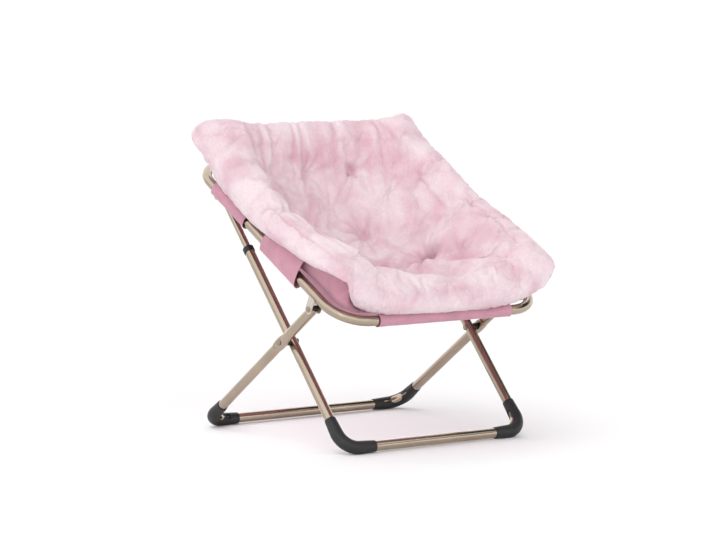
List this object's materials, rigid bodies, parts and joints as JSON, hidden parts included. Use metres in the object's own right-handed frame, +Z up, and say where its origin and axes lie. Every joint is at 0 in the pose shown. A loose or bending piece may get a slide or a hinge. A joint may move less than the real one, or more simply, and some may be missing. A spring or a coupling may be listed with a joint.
{
  "type": "folding saucer chair",
  "caption": "Folding saucer chair with crossed tube legs, telescopic rear uprights and a round-cornered dish seat in pink plush.",
  "frame": {"origin": "on the floor, under the middle of the whole open chair's outline", "axes": "+Z up, the chair faces -Y, +X towards the sitter's left-hand side"},
  "size_m": [0.679, 0.7328, 0.7875],
  "materials": {
    "champagne_tube": "champagne metallic, satin",
    "black_plastic": "moulded, fine grain",
    "guide_plastic": "natural",
    "bracket_steel": "light champagne, satin",
    "rivet_steel": "dark, burnished",
    "joiner_steel": "plain",
    "woven_pink": "close woven polyester",
    "pink_fur": "short plush pile, sewn and tufted"
  },
  "bodies": {
    "rear_legs": {"rear_leg_frame": "champagne_tube", "rear_boot_left": "black_plastic", "rear_boot_right": "black_plastic", "pivot_rivet_left": "rivet_steel", "pivot_rivet_right": "rivet_steel", "leg_plug_left": "black_plastic", "leg_plug_right": "black_plastic"},
    "front_legs": {"front_leg_frame": "champagne_tube", "front_boot_left": "black_plastic", "front_boot_right": "black_plastic", "pivot_spacer_left": "black_plastic", "pivot_spacer_right": "black_plastic", "slide_collar_left": "black_plastic", "slide_collar_right": "black_plastic"},
    "upper_tubes": {"upper_tube_left": "champagne_tube", "upper_tube_right": "champagne_tube", "guide_bush_left": "guide_plastic", "guide_bush_right": "guide_plastic"},
    "seat": {"rim_front": "champagne_tube", "rim_rear": "champagne_tube", "rim_joiner_left": "joiner_steel", "rim_joiner_right": "joiner_steel", "front_bracket_left": "bracket_steel", "front_bracket_right": "bracket_steel", "front_hinge_pin_left": "rivet_steel", "front_hinge_pin_right": "rivet_steel", "rear_hanger_left": "bracket_steel", "rear_hanger_right": "bracket_steel", "rear_hinge_pin_left": "rivet_steel", "rear_hinge_pin_right": "rivet_steel", "bracket_rivets": "rivet_steel", "sleeve_front": "woven_pink", "sleeve_rear": "woven_pink", "sleeve_left_front": "woven_pink", "sleeve_left_rear": "woven_pink", "sleeve_right_front": "woven_pink", "sleeve_right_rear": "woven_pink", "seat_tray": "woven_pink", "seat_cushion": "pink_fur"}
  },
  "joints": [
    {"name": "fold", "type": "hinge", "parent": "rear_legs", "child": "front_legs", "pos_m": [0, -0.05187, 0.2532], "axis": [1, 0, 0], "range_deg": [0, 99.2]},
    {"name": "rim_hinge", "type": "hinge", "parent": "rear_legs", "child": "seat", "pos_m": [0, -0.19162, 0.34824], "axis": [1, 0, 0], "range_deg": [0, 117.8]},
    {"name": "tube_slide", "type": "slide", "parent": "front_legs", "child": "upper_tubes", "axis": [0, 0.6874, 0.7262], "range_m": [0, 0.2234]}
  ],
  "couplings": [
    {"joint": "rim_hinge", "follows": "fold", "ratio": 1.1871},
    {"joint": "tube_slide", "follows": "fold", "m_per_rad": 0.12896}
  ]
}
